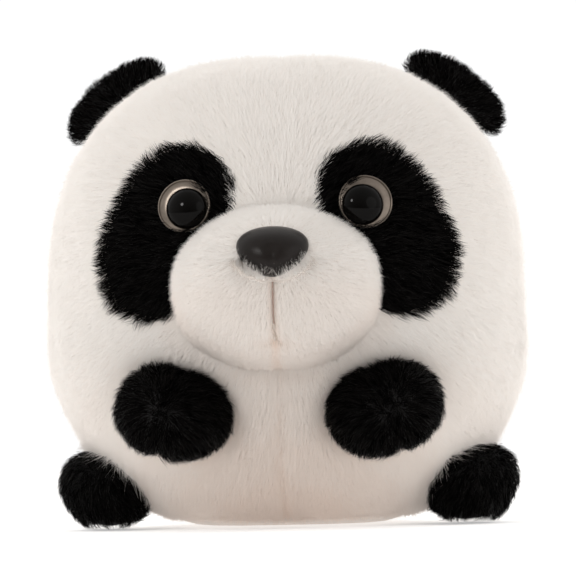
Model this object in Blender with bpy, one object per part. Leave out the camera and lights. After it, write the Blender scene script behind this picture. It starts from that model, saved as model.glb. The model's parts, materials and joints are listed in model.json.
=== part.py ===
"""Plush panda: a ball-shaped stuffed toy, about 250 mm wide over the pile.

Frame: +Z up, the toy looks along -Y, and its own left side is +X. The origin is the middle of the
flat face that it rests on. Lengths are metres.

The ball is four gores of plush cloth and a base panel round one mass of stuffing. A muzzle, two eye
patches, safety eyes and a safety nose make the face. Six limbs (ears, arms and feet) are two cloth
halves round their own stuffing. Each turns about a hinge line in the ball's surface, where its root
is a solid of revolution about that line and sits in a pocket of the same shape.
"""
from math import acos, cos, pi, radians, sin

import bmesh
import bpy
from mathutils import Matrix, Vector

# ---------------------------------------------------------------- driving dimensions
BALL_HALF_WIDTH = 0.1215
BALL_HALF_DEPTH = 0.1120
BALL_HALF_HEIGHT = 0.1230
BALL_SQUARENESS = 2.5        # exponent of the section: 2 is an ellipse, more is squarer
BALL_CENTRE_HEIGHT = 0.1180  # less than the half height, so the base is flat
BASE_RIM_HEIGHT = 0.0060     # seam between the base panel and the gores

CLOTH = 0.0030               # backing cloth with its packed pile
GAP = 0.0003                 # between pieces that touch
SEAT = 0.0006                # under pieces that lie on a curved face

MUZZLE_HALF_WIDTH = 0.0505
MUZZLE_HALF_HEIGHT = 0.0395
MUZZLE_DEPTH = 0.0300
MUZZLE_HEIGHT = 0.1190       # of its middle above the floor
MUZZLE_SQUARENESS = 2.2

NOSE_HALF_WIDTH = 0.0173
NOSE_HALF_HEIGHT = 0.0126
NOSE_DEPTH = 0.0095
NOSE_HEIGHT = 0.1355
NOSE_TAPER = 0.25            # how much narrower it is at its foot than at its brow

EYE_SPACING = 0.0880         # between the two eyes' centres
EYE_HEIGHT = 0.1597
EYE_RING_RADIUS = 0.0135
EYE_RING_THICKNESS = 0.0036
EYE_DOME_RADIUS = 0.0103
EYE_RECESS_FLOOR = 0.0014    # of the dome's seat, above the ring's back
EYE_DOME_OFFSET = 0.0023     # the dome sits inward and down in its ring
EYE_DOME_RISE = 0.0068

PATCH_CENTRE_X = 0.0520
PATCH_CENTRE_HEIGHT = 0.1472
PATCH_HALF_LENGTH = 0.0430
PATCH_HALF_WIDTH = 0.0285
PATCH_LEAN = radians(27)     # its long axis leans outward at the bottom

SHANK_RADIUS = 0.0026
SHANK_LENGTH = 0.0120
BORE_RADIUS = 0.0031
WASHER_RADIUS = 0.0095
WASHER_THICKNESS = 0.0020
WASHER_DEPTH = 0.0052        # below the cloth's outer face

MOUTH_TOP = 0.1205
MOUTH_BOTTOM = 0.1010
THREAD_RADIUS = 0.0007

CUT_MARGIN = 0.0040          # how far a cutting shape stands out of what it cuts
POCKET_CLEARANCE = 0.0016    # round a limb's root
LIMB_RIM = radians(145)      # where a limb's cloth ends, measured from its tip

GORE_COLUMNS = 10
GORE_ROWS = 12
LIMB_COLUMNS = 8
LIMB_ROWS = 6
ROUND_STEPS = 20

SIDES = {"left": 1, "right": -1}

WHITE_PLUSH = (0.80, 0.75, 0.70)
BLACK_PLUSH = (0.008, 0.007, 0.006)
STUFFING = (0.86, 0.86, 0.84)
NOSE_BROWN = (0.020, 0.014, 0.012)
RING_BEIGE = (0.50, 0.43, 0.34)
DOME_BLACK = (0.004, 0.004, 0.005)
WASHER_WHITE = (0.75, 0.75, 0.75)
THREAD_ROSE = (0.45, 0.30, 0.25)

materials = {}


def clear_scene():
    for item in list(bpy.data.objects):
        bpy.data.objects.remove(item, do_unlink=True)


def material(name, colour, roughness):
    """The Principled material of this name, made on its first use."""
    if name not in materials:
        made = bpy.data.materials.new(name)
        made.use_nodes = True
        shader = made.node_tree.nodes["Principled BSDF"]
        shader.inputs["Base Color"].default_value = (*colour, 1.0)
        shader.inputs["Roughness"].default_value = roughness
        shader.inputs["Metallic"].default_value = 0.0
        materials[name] = made
    return materials[name]


# ---------------------------------------------------------------- meshes built from rings of points
def bridge(bm, low, high, wrap):
    """Quads between two rows of vertices of the same length."""
    steps = len(low) if wrap else len(low) - 1
    for i in range(steps):
        j = (i + 1) % len(low)
        bm.faces.new((low[i], low[j], high[j], high[i]))


def fan(bm, row, tip, wrap):
    """Triangles from a row of vertices to one point."""
    steps = len(row) if wrap else len(row) - 1
    for i in range(steps):
        bm.faces.new((row[i], row[(i + 1) % len(row)], tip))


def skin(bm, rows, tip, wrap):
    """A dome of faces from a first row up to its tip. Returns the rows of vertices and the tip."""
    made = [[bm.verts.new(point) for point in row] for row in rows]
    top = bm.verts.new(tip)
    for low, high in zip(made, made[1:]):
        bridge(bm, low, high, wrap)
    fan(bm, made[-1], top, wrap)
    return made, top


def finish_mesh(bm, name):
    """A mesh with its faces pointing out and its smooth faces shaded so."""
    bmesh.ops.recalc_face_normals(bm, faces=bm.faces)
    mesh = bpy.data.meshes.new(name)
    bm.to_mesh(mesh)
    bm.free()
    mesh.shade_smooth()
    mesh.set_sharp_from_angle(angle=radians(40))
    return mesh


def shell_mesh(name, outer, outer_tip, inner, inner_tip, wrap):
    """Cloth between an outer and an inner dome. Without wrap it also has two seam edges."""
    bm = bmesh.new()
    outside, outside_tip = skin(bm, outer, outer_tip, wrap)
    inside, inside_tip = skin(bm, inner, inner_tip, wrap)
    bridge(bm, outside[0], inside[0], wrap)
    if not wrap:
        for end in (0, -1):
            outer_edge = [row[end] for row in outside] + [outside_tip]
            inner_edge = [row[end] for row in inside] + [inside_tip]
            bridge(bm, outer_edge, inner_edge, False)
    return finish_mesh(bm, name)


def solid_mesh(name, rows, first_tip, last_tip):
    """A closed solid: rings of points between two end points."""
    bm = bmesh.new()
    made, _ = skin(bm, rows, last_tip, True)
    fan(bm, made[0], bm.verts.new(first_tip), True)
    return finish_mesh(bm, name)


def hoop_mesh(name, rows):
    """A closed hoop: rings of points, the last joined to the first."""
    bm = bmesh.new()
    made = [[bm.verts.new(point) for point in row] for row in rows]
    for low, high in zip(made, made[1:] + made[:1]):
        bridge(bm, low, high, True)
    return finish_mesh(bm, name)


def ring(radius, height, centre=(0.0, 0.0)):
    """A ring of points about the local Z axis."""
    angles = [2 * pi * i / ROUND_STEPS for i in range(ROUND_STEPS)]
    return [Vector((centre[0] + radius * cos(a), centre[1] + radius * sin(a), height)) for a in angles]


def turned_mesh(name, profile, centre=(0.0, 0.0)):
    """A solid turned about the local Z axis, from its lowest point to its highest."""
    rows = [ring(radius, height, centre) for radius, height in profile]
    low = Vector((*centre, profile[0][1]))
    high = Vector((*centre, profile[-1][1]))
    return solid_mesh(name, rows, low, high)


# ---------------------------------------------------------------- objects
def place(name, mesh, frame, parent=None):
    """A new object at a frame, which is in the parent's space where there is a parent."""
    made = bpy.data.objects.new(name, mesh)
    bpy.context.collection.objects.link(made)
    made.parent = parent
    made.matrix_local = frame
    return made


def piece(name, mesh, finish, frame=None, parent=None):
    """A sub-part of the toy with its own material."""
    made = place(name, mesh, frame or Matrix.Identity(4), parent)
    if not mesh.materials:
        mesh.materials.append(finish)
    return made


def tool(name, mesh, frame=None, parent=None):
    """A hidden shape that others are cut by or joined with."""
    made = place(name, mesh, frame or Matrix.Identity(4), parent)
    made.hide_render = True
    made.display_type = "WIRE"
    return made


def combine(target, operand, operation="DIFFERENCE"):
    boolean = target.modifiers.new(f"{operation.lower()} {operand.name}", "BOOLEAN")
    boolean.operation = operation
    boolean.object = operand


# ---------------------------------------------------------------- the ball's surface
def ball_sizes(shrink):
    return BALL_HALF_WIDTH - shrink, BALL_HALF_DEPTH - shrink, BALL_HALF_HEIGHT - shrink


def ball_point(azimuth, height, shrink):
    """The point of the ball at an angle from -Y towards +X, at a height above the floor."""
    half_width, half_depth, half_height = ball_sizes(shrink)
    n = BALL_SQUARENESS
    level = abs(height - BALL_CENTRE_HEIGHT) / half_height
    girth = max(0.0, 1.0 - level ** n) ** (1 / n)
    spread = (abs(sin(azimuth)) / half_width) ** n + (abs(cos(azimuth)) / half_depth) ** n
    radius = girth / spread ** (1 / n)
    return Vector((radius * sin(azimuth), -radius * cos(azimuth), height))


def ball_front(x, z):
    """The depth, as a negative y, of the ball's face at x and a height."""
    half_width, half_depth, half_height = ball_sizes(0.0)
    n = BALL_SQUARENESS
    across = (abs(x) / half_width) ** n
    up = (abs(z - BALL_CENTRE_HEIGHT) / half_height) ** n
    return -half_depth * max(0.0, 1.0 - across - up) ** (1 / n)


def ball_levels(lowest, shrink):
    """Heights from the lowest one to just under the crown, closer together at the crown."""
    half_height = ball_sizes(shrink)[2]
    start = acos(-(lowest - BALL_CENTRE_HEIGHT) / half_height)
    angles = [start + (pi - start) * i / GORE_ROWS for i in range(GORE_ROWS)]
    return [BALL_CENTRE_HEIGHT - half_height * cos(angle) for angle in angles]


def crown(shrink):
    return Vector((0.0, 0.0, BALL_CENTRE_HEIGHT + ball_sizes(shrink)[2]))


def gore_dome(start, shrink):
    """Rows of one quarter of the ball above the base seam, from an azimuth on, and their tip."""
    azimuths = [start + pi / 2 * i / GORE_COLUMNS for i in range(GORE_COLUMNS + 1)]
    levels = ball_levels(BASE_RIM_HEIGHT + GAP, shrink)
    rows = [[ball_point(a, height, shrink) for a in azimuths] for height in levels]
    return rows, crown(shrink)


def all_round(height, shrink):
    """A full ring of the ball's section, in step with the gores' columns."""
    count = 4 * GORE_COLUMNS
    return [ball_point(2 * pi * i / count, height, shrink) for i in range(count)]


# ---------------------------------------------------------------- the ball's pieces
def gore_mesh(name, start):
    outer, outer_tip = gore_dome(start, 0.0)
    inner, inner_tip = gore_dome(start, CLOTH)
    return shell_mesh(name, outer, outer_tip, inner, inner_tip, False)


def make_gores():
    """Two front and two back quarters, each set off its seam planes by half a gap."""
    white = material("white_plush", WHITE_PLUSH, 0.95)
    gores = {}
    for side, sign in SIDES.items():
        for end, start, set_off in (("front", 0.0, -GAP / 2), ("back", pi / 2, GAP / 2)):
            first = start if sign > 0 else -start - pi / 2
            name = f"{end}_panel_{side}"
            seat = Matrix.Translation((sign * GAP / 2, set_off, 0.0))
            gores[name] = piece(name, gore_mesh(name, first), white, seat)
    return gores


def make_base_panel():
    outer = [all_round(BASE_RIM_HEIGHT, 0.0), all_round(0.0, 0.0)]
    inner = [all_round(BASE_RIM_HEIGHT, CLOTH), all_round(CLOTH, CLOTH)]
    floor_middle = Vector((0.0, 0.0, 0.0))
    inside_middle = Vector((0.0, 0.0, CLOTH))
    mesh = shell_mesh("base_panel", outer, floor_middle, inner, inside_middle, True)
    return piece("base_panel", mesh, material("white_plush", WHITE_PLUSH, 0.95))


def make_body_stuffing():
    shrink = CLOTH + GAP
    levels = [shrink] + ball_levels(BASE_RIM_HEIGHT + GAP, shrink)
    rows = [all_round(height, shrink) for height in levels]
    mesh = solid_mesh("body_stuffing", rows, Vector((0.0, 0.0, shrink)), crown(shrink))
    return piece("body_stuffing", mesh, material("stuffing", STUFFING, 0.9))


# ---------------------------------------------------------------- the muzzle
def muzzle_front(x, z, shrink=0.0):
    """The depth of the muzzle's face, or of the ball's where the muzzle has ended."""
    n = MUZZLE_SQUARENESS
    across = (abs(x) / (MUZZLE_HALF_WIDTH - shrink)) ** n
    up = (abs(z - MUZZLE_HEIGHT) / (MUZZLE_HALF_HEIGHT - shrink)) ** n
    reach = min(1.0, (across + up) ** (1 / n))
    rise = (MUZZLE_DEPTH - shrink) * (1.0 - reach ** 2) ** 0.5
    return ball_front(x, z) - SEAT - rise


def muzzle_point(reach, angle, shrink, rise):
    """A point at a share of the way to the muzzle's rim, standing off the ball by a rise."""
    n = MUZZLE_SQUARENESS
    stretch = (abs(cos(angle)) ** n + abs(sin(angle)) ** n) ** (-1 / n)
    x = reach * stretch * cos(angle) * (MUZZLE_HALF_WIDTH - shrink)
    z = MUZZLE_HEIGHT + reach * stretch * sin(angle) * (MUZZLE_HALF_HEIGHT - shrink)
    return Vector((x, ball_front(x, z) - SEAT - rise, z))


def muzzle_dome(angles, shrink):
    """Rows from the muzzle's rim to just short of its tip, and the tip."""
    depth = MUZZLE_DEPTH - shrink
    slopes = [pi / 2 * (1 - i / LIMB_ROWS) for i in range(LIMB_ROWS)]
    rows = [[muzzle_point(sin(s), a, shrink, depth * cos(s)) for a in angles] for s in slopes]
    return rows, muzzle_point(0.0, 0.0, shrink, depth)


def make_muzzle():
    """Two cloth halves that meet in the centre seam, and the stuffing under them."""
    white = material("white_plush", WHITE_PLUSH, 0.95)
    steps = 2 * LIMB_COLUMNS
    pieces = {}
    for side, sign in SIDES.items():
        angles = [-pi / 2 + sign * pi * i / steps for i in range(steps + 1)]
        outer, outer_tip = muzzle_dome(angles, 0.0)
        inner, inner_tip = muzzle_dome(angles, CLOTH)
        name = f"muzzle_cover_{side}"
        mesh = shell_mesh(name, outer, outer_tip, inner, inner_tip, False)
        pieces[name] = piece(name, mesh, white, Matrix.Translation((sign * GAP / 2, 0.0, 0.0)))
    shrink = CLOTH + GAP
    angles = [2 * pi * i / (2 * steps) for i in range(2 * steps)]
    dome, tip = muzzle_dome(angles, shrink)
    seat_rows = [[muzzle_point(reach, a, shrink, 0.0) for a in angles] for reach in (0.25, 0.5, 0.75)]
    mesh = solid_mesh("muzzle_stuffing", seat_rows + dome, muzzle_point(0.0, 0.0, shrink, 0.0), tip)
    pieces["muzzle_stuffing"] = piece("muzzle_stuffing", mesh, material("stuffing", STUFFING, 0.9))
    return pieces


# ---------------------------------------------------------------- eyes and nose
def surface_frame(front, x, z):
    """A frame on the surface y = front(x, z): its Z points out of the toy, its X lies level."""
    step = 0.001
    slope_x = (front(x + step, z) - front(x - step, z)) / (2 * step)
    slope_z = (front(x, z + step) - front(x, z - step)) / (2 * step)
    outward = Vector((slope_x, -1.0, slope_z)).normalized()
    level = outward.cross(Vector((0.0, 0.0, -1.0))).normalized()
    upward = outward.cross(level)
    turn = Matrix((level, upward, outward)).transposed().to_4x4()
    return Matrix.Translation((x, front(x, z), z)) @ turn


def make_washer(name, frame):
    low = -WASHER_DEPTH - WASHER_THICKNESS
    corners = [(WASHER_RADIUS, low), (WASHER_RADIUS, -WASHER_DEPTH)]
    corners += [(BORE_RADIUS, -WASHER_DEPTH), (BORE_RADIUS, low)]
    mesh = hoop_mesh(name, [ring(radius, height) for radius, height in corners])
    return piece(name, mesh, material("washer", WASHER_WHITE, 0.5), frame)


def bore_tool(name, frame):
    """The way for a shank through the cloth and into the stuffing."""
    deep = -SHANK_LENGTH - SEAT
    mesh = turned_mesh(name, [(BORE_RADIUS, deep), (BORE_RADIUS, CUT_MARGIN)])
    return tool(name, mesh, frame)


def washer_pocket_tool(name, frame):
    """The room for a washer in the stuffing, open towards the cloth."""
    radius = WASHER_RADIUS + GAP
    deep = -WASHER_DEPTH - WASHER_THICKNESS - GAP
    mesh = turned_mesh(name, [(radius, deep), (radius, CUT_MARGIN)])
    return tool(name, mesh, frame)


def fit_washer(name, frame, cloths, stuffing):
    """A washer behind the cloth, and the holes for it and for the shank."""
    bore = bore_tool(f"{name}_bore", frame)
    pocket = washer_pocket_tool(f"{name}_pocket", frame)
    for cloth in cloths:
        combine(cloth, bore)
    combine(stuffing, bore)
    combine(stuffing, pocket)
    make_washer(name, frame)


def make_eye_ring(side, frame, centre):
    """A beige disc with its shank, and a round recess for the dome."""
    radius = EYE_RING_RADIUS
    top = SEAT + EYE_RING_THICKNESS
    profile = [(SHANK_RADIUS, -SHANK_LENGTH), (SHANK_RADIUS, SEAT), (0.93 * radius, SEAT)]
    profile += [(radius, SEAT + 0.0012), (0.97 * radius, top - 0.0010), (0.88 * radius, top)]
    name = f"eye_ring_{side}"
    disc = piece(name, turned_mesh(name, profile), material("eye_ring", RING_BEIGE, 0.35), frame)
    room = EYE_DOME_RADIUS + GAP
    recess = turned_mesh("recess", [(room, SEAT + EYE_RECESS_FLOOR), (room, top + CUT_MARGIN)], centre)
    combine(disc, tool(f"eye_recess_{side}", recess, frame))


def make_eye_dome(side, frame, centre):
    """The black dome: a short straight side under an elliptical cap."""
    floor = SEAT + EYE_RECESS_FLOOR + GAP
    shoulder = SEAT + EYE_RING_THICKNESS
    rows = [ring(EYE_DOME_RADIUS, floor, centre)]
    for i in range(LIMB_ROWS):
        slope = pi / 2 * i / LIMB_ROWS
        rows.append(ring(EYE_DOME_RADIUS * cos(slope), shoulder + EYE_DOME_RISE * sin(slope), centre))
    tip = Vector((*centre, shoulder + EYE_DOME_RISE))
    name = f"eye_dome_{side}"
    mesh = solid_mesh(name, rows, Vector((*centre, floor)), tip)
    piece(name, mesh, material("eye_dome", DOME_BLACK, 0.05), frame)


def make_eye(side, patch, stuffing):
    """A safety eye: ring, off-centre dome, and the washer that holds it in the cloth."""
    sign = SIDES[side]
    frame = surface_frame(ball_front, sign * EYE_SPACING / 2, EYE_HEIGHT)
    offset = EYE_DOME_OFFSET / 2 ** 0.5
    centre = (-sign * offset, -offset)
    make_eye_ring(side, frame, centre)
    make_eye_dome(side, frame, centre)
    fit_washer(f"eye_washer_{side}", frame, [patch], stuffing)


def patch_stencil(side, operation, grown):
    """The eye patch's leaning ellipse, run from front to back through the face."""
    sign = SIDES[side]
    lean = Matrix.Rotation(sign * PATCH_LEAN, 4, "Z")
    facing = Matrix.Rotation(pi / 2, 4, "X")
    seat = Matrix.Translation((sign * PATCH_CENTRE_X, 0.0, PATCH_CENTRE_HEIGHT))
    steps = 2 * ROUND_STEPS
    rows = []
    near, far = BALL_HALF_DEPTH / 4, BALL_HALF_DEPTH + CUT_MARGIN
    for depth in (near, far):
        angles = [2 * pi * i / steps for i in range(steps)]
        half_width = PATCH_HALF_WIDTH + grown
        half_length = PATCH_HALF_LENGTH + grown
        rows.append([Vector((half_width * cos(a), half_length * sin(a), depth)) for a in angles])
    mesh = solid_mesh("patch_outline", rows, Vector((0.0, 0.0, near)), Vector((0.0, 0.0, far)))
    return tool(f"patch_{operation.lower()}_{side}", mesh, seat @ facing @ lean)


def make_eye_patch(side, gore):
    """The black patch let into a front gore, and the opening that it fills."""
    blank = gore.data.copy()
    blank.materials.clear()
    patch = piece(f"eye_patch_{side}", blank, material("black_plush", BLACK_PLUSH, 0.95), gore.matrix_local)
    for grown, target, operation in ((0.0, patch, "INTERSECT"), (GAP, gore, "DIFFERENCE")):
        combine(target, patch_stencil(side, operation, grown), operation)
    return patch


def nose_point(reach, angle, rise):
    """A point of the nose: a triangle with round corners, laid over the muzzle."""
    x = reach * NOSE_HALF_WIDTH * cos(angle) * (1 + NOSE_TAPER * sin(angle))
    z = NOSE_HEIGHT + reach * NOSE_HALF_HEIGHT * sin(angle)
    return Vector((x, muzzle_front(x, z) - SEAT - rise, z))


def make_nose(muzzle):
    angles = [2 * pi * i / ROUND_STEPS for i in range(ROUND_STEPS)]
    slopes = [pi / 2 * (1 - i / LIMB_ROWS) for i in range(LIMB_ROWS)]
    back = [[nose_point(reach, a, 0.0) for a in angles] for reach in (0.3, 0.65)]
    front = [[nose_point(sin(s), a, NOSE_DEPTH * cos(s)) for a in angles] for s in slopes]
    mesh = solid_mesh("nose", back + front, nose_point(0.0, 0.0, 0.0), nose_point(0.0, 0.0, NOSE_DEPTH))
    nose = piece("nose", mesh, material("nose", NOSE_BROWN, 0.35))
    frame = surface_frame(muzzle_front, 0.0, NOSE_HEIGHT)
    shank_mesh = turned_mesh("nose_shank", [(SHANK_RADIUS, -SHANK_LENGTH), (SHANK_RADIUS, CUT_MARGIN)])
    combine(nose, tool("nose_shank", shank_mesh, frame), "UNION")
    covers = [muzzle["muzzle_cover_left"], muzzle["muzzle_cover_right"]]
    fit_washer("nose_washer", frame, covers, muzzle["muzzle_stuffing"])


def make_mouth_stitch():
    """The thread sewn down the muzzle's centre seam under the nose."""
    curve = bpy.data.curves.new("mouth_stitch", "CURVE")
    curve.dimensions = "3D"
    curve.bevel_depth = THREAD_RADIUS
    curve.bevel_resolution = 2
    curve.use_fill_caps = True
    steps = 8
    spline = curve.splines.new("POLY")
    spline.points.add(steps)
    for i, point in enumerate(spline.points):
        z = MOUTH_TOP + (MOUTH_BOTTOM - MOUTH_TOP) * i / steps
        point.co = (0.0, muzzle_front(0.0, z) - THREAD_RADIUS - SEAT, z, 1.0)
    return piece("mouth_stitch", curve, material("thread", THREAD_ROSE, 0.8))


# ---------------------------------------------------------------- limbs
def limb_point(kind, polar, turn, shrink, reach=None):
    """A point of a limb in its own frame: X along the hinge line, Z out along the limb."""
    out = (reach or kind["reach"]) if polar < pi / 2 else kind["half_thickness"]
    return Vector((
        (kind["half_width"] - shrink) * sin(polar) * cos(turn),
        (kind["half_thickness"] - shrink) * sin(polar) * sin(turn),
        (out - shrink) * cos(polar)))


def limb_dome(kind, first_turn, shrink):
    """Rows of one cloth half of a limb, from its root rim to just short of its tip, and the tip."""
    turns = [first_turn + pi * i / LIMB_COLUMNS for i in range(LIMB_COLUMNS + 1)]
    polars = [LIMB_RIM * (1 - i / LIMB_ROWS) for i in range(LIMB_ROWS)]
    rows = [[limb_point(kind, polar, turn, shrink) for turn in turns] for polar in polars]
    return rows, limb_point(kind, 0.0, 0.0, shrink)


def limb_solid(name, kind, shrink, reach=None):
    """The whole limb as one closed solid, with its columns in step with the cloth's."""
    count = 2 * LIMB_COLUMNS
    turns = [2 * pi * i / count for i in range(count)]
    polars = [LIMB_RIM * (1 - i / LIMB_ROWS) for i in range(LIMB_ROWS)]
    rows = [[limb_point(kind, polar, turn, shrink, reach) for turn in turns] for polar in polars]
    root = limb_point(kind, pi, 0.0, shrink)
    return solid_mesh(name, rows, root, limb_point(kind, 0.0, 0.0, shrink, reach))


def limb_frame(pivot, outward, toward):
    """A limb's frame: Z out along the limb, and its tip turns towards a direction about X."""
    out = outward.normalized()
    line = out.cross(toward).normalized()
    turn = Matrix((line, out.cross(line), out)).transposed().to_4x4()
    return Matrix.Translation(pivot) @ turn


def ear_frame(sign):
    """On the ball's upper corner, a little behind the side seam, and leaning back."""
    corner = ball_point(sign * pi / 2, EAR["height"], 0.0)
    along = ball_point(sign * pi / 2, EAR["height"] + 0.001, 0.0) - corner
    outward = Vector((sign * along.z, 0.0, -sign * along.x)).normalized()
    pivot = corner + outward * EAR["stand"] + Vector((0.0, EAR["set_back"], 0.0))
    return limb_frame(pivot, outward + Vector((0.0, EAR["lean"], 0.0)), Vector((0.0, -1.0, 0.0)))


def arm_frame(sign):
    """On the belly, pointing forward; the hinge line rises towards the toy's side."""
    x = sign * ARM["spacing"] / 2
    outward = Vector((sign * ARM["splay"], -1.0, -ARM["droop"])).normalized()
    pivot = Vector((x, ball_front(x, ARM["height"]), ARM["height"])) + outward * ARM["stand"]
    return limb_frame(pivot, outward, Vector((-sign * sin(ARM["cant"]), 0.0, cos(ARM["cant"]))))


def foot_frame(sign):
    """Low on the ball's side, pointing outward and forward along the floor."""
    azimuth = sign * FOOT["azimuth"]
    outward = Vector((sin(azimuth), -cos(azimuth), 0.0))
    pivot = ball_point(azimuth, FOOT["height"], 0.0) + outward * FOOT["stand"]
    return limb_frame(pivot, outward, Vector((0.0, 0.0, 1.0)))


# Sizes under the pile. "stand" is how far the hinge line is outside the ball, and "upright_seam"
# says that the seam between the two cloth halves runs up the limb's face and not along its edge.
EAR = {"half_width": 0.0300, "half_thickness": 0.0080, "reach": 0.0155, "stand": 0.0040,
       "height": 0.2180, "set_back": 0.0125, "lean": 0.30, "upright_seam": False}
ARM = {"half_width": 0.0258, "half_thickness": 0.0195, "reach": 0.0350, "stand": 0.0030,
       "spacing": 0.1000, "height": 0.0610, "splay": 0.22, "droop": 0.25, "cant": radians(18),
       "upright_seam": True}
FOOT = {"half_width": 0.0280, "half_thickness": 0.0205, "reach": 0.0170, "stand": 0.0060,
        "azimuth": radians(68), "height": 0.0225, "upright_seam": False}

# name, sizes, frame, names of the two cloth halves, and the ball's panel that the pocket is in
LIMBS = (
    ("ear", EAR, ear_frame, ("back", "front"), "back_panel"),
    ("arm", ARM, arm_frame, ("inner", "outer"), "front_panel"),
    ("foot", FOOT, foot_frame, ("sole", "upper"), "front_panel"),
)


def make_limb(limb, side, gores, stuffing):
    """Two cloth halves and their stuffing on an empty at the hinge, and the pocket in the ball."""
    name, kind, frame_of, halves, panel = limb
    sign = SIDES[side]
    pivot = place(f"{name}_{side}_hinge", None, frame_of(sign))
    black = material("black_plush", BLACK_PLUSH, 0.95)
    first_turn = -sign * pi / 2 if kind["upright_seam"] else 0.0
    for index, half in enumerate(halves):
        start = first_turn + index * pi
        middle = start + pi / 2
        outer, outer_tip = limb_dome(kind, start, 0.0)
        inner, inner_tip = limb_dome(kind, start, CLOTH)
        label = f"{name}_{half}_{side}"
        mesh = shell_mesh(label, outer, outer_tip, inner, inner_tip, False)
        seat = Matrix.Translation((cos(middle) * GAP / 2, sin(middle) * GAP / 2, 0.0))
        piece(label, mesh, black, seat, pivot)
    label = f"{name}_stuffing_{side}"
    filling = limb_solid(label, kind, CLOTH + GAP)
    piece(label, filling, material("stuffing", STUFFING, 0.9), None, pivot)
    label = f"{name}_pocket_{side}"
    room = limb_solid(label, kind, -POCKET_CLEARANCE, kind["half_thickness"])
    pocket = tool(label, room, None, pivot)
    combine(gores[f"{panel}_{side}"], pocket)
    combine(stuffing, pocket)


def main():
    clear_scene()
    gores = make_gores()
    make_base_panel()
    stuffing = make_body_stuffing()
    muzzle = make_muzzle()
    for side in SIDES:
        patch = make_eye_patch(side, gores[f"front_panel_{side}"])
        make_eye(side, patch, stuffing)
        for limb in LIMBS:
            make_limb(limb, side, gores, stuffing)
    make_nose(muzzle)
    make_mouth_stitch()


main()
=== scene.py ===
"""Plush panda: the looks.

The CAD model is the frame. Its cloth pieces are replaced by padded skins, blown up for a moment by
a cloth simulation, and its eye patches by thin pads laid on the ball. Pile grows on them: short
tapered fibres rooted in the skin, combed one way, with clumps that draw their tips together.
Lengths are metres. The toy looks along -Y and its own left side is +X, as in the CAD.
"""
import json
from math import cos, pi, radians, sin

import bmesh
import bpy
import numpy as np
from mathutils import Matrix, Vector
from mathutils.bvhtree import BVHTree
from mathutils.kdtree import KDTree


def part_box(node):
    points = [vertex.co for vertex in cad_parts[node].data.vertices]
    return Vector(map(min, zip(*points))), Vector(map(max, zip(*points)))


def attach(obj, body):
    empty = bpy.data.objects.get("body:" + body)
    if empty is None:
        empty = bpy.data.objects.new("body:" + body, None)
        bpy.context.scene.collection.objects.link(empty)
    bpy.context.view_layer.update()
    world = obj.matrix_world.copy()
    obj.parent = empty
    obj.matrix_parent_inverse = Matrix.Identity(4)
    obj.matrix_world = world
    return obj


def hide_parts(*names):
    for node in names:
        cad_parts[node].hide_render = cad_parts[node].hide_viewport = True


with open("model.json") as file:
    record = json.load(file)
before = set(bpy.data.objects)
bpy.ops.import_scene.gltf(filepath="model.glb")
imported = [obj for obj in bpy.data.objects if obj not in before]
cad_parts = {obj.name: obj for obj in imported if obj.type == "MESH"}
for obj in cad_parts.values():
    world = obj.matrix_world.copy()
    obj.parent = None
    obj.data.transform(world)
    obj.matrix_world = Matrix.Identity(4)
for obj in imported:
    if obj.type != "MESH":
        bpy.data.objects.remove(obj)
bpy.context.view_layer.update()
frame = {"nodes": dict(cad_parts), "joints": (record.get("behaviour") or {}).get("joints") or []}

# -------------------------------- what the frame says
SIDES = {"left": 1, "right": -1}
BALL_SQUARENESS = 2.5            # exponents of the CAD's ball and muzzle sections
MUZZLE_SQUARENESS = 2.2

front_low, front_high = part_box("front_panel_left")
HALF_WIDTH = front_high.x
HALF_DEPTH = -front_low.y
BALL_TOP = front_high.z
BALL_CENTRE = 0.1180             # height of the ball's middle above the floor
HALF_HEIGHT = BALL_TOP - BALL_CENTRE
BALL_SIZES = np.array([HALF_WIDTH, HALF_DEPTH, HALF_HEIGHT])
BALL_MIDDLE = np.array([0.0, 0.0, BALL_CENTRE])

muzzle_low, muzzle_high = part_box("muzzle_cover_left")
MUZZLE_HALF_WIDTH = muzzle_high.x
MUZZLE_CENTRE = (muzzle_low.z + muzzle_high.z) / 2
MUZZLE_HALF_HEIGHT = (muzzle_high.z - muzzle_low.z) / 2
MUZZLE_DEPTH = 0.0300

nose_low, nose_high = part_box("nose")
NOSE_HALF_WIDTH = (nose_high.x - nose_low.x) / 2
NOSE_CENTRE = (nose_low.z + nose_high.z) / 2
NOSE_HALF_HEIGHT = (nose_high.z - nose_low.z) / 2
NOSE_DEPTH = 0.0095
NOSE_ROOT = np.array([0.0, -HALF_DEPTH, NOSE_CENTRE])

# -------------------------------- sizes of the soft detail
PATCH_CENTRE = (0.0520, 0.1472)  # x and height of an eye patch's middle
PATCH_HALF_WIDTH = 0.0285
PATCH_HALF_LENGTH = 0.0430
PATCH_LEAN = radians(27)
PATCH_SQUARENESS = 2.2

EYE_SPACING = 0.0880
EYE_HEIGHT = 0.1597
EYE_RING_RADIUS = 0.0135
EYE_DOME_RADIUS = 0.0103
EYE_DOME_OFFSET = 0.0023
EYE_DOME_RISE = 0.0068

WHITE_LENGTH = 0.0075            # of a fibre, before it is varied
BLACK_LENGTH = 0.0090
MUZZLE_LENGTH = 0.0056
LIMB_LENGTHS = {"ear": 0.0065, "arm": 0.0088, "foot": 0.0080}
FLOOR_CLEARANCE = 0.0004
SKIN_INSET = 0.0008              # of a skin before it is blown up, under the CAD cloth's outer face
ROOT_DEPTH = 0.0005              # of a fibre's root under its skin
SHOULDER_HEIGHT = 0.0800         # where the ball bulges at each side, beside the arms
MOUTH_END = 0.0935               # height of the tuck at the mouth's lower end
STITCH_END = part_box("mouth_stitch")[0].z

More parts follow.
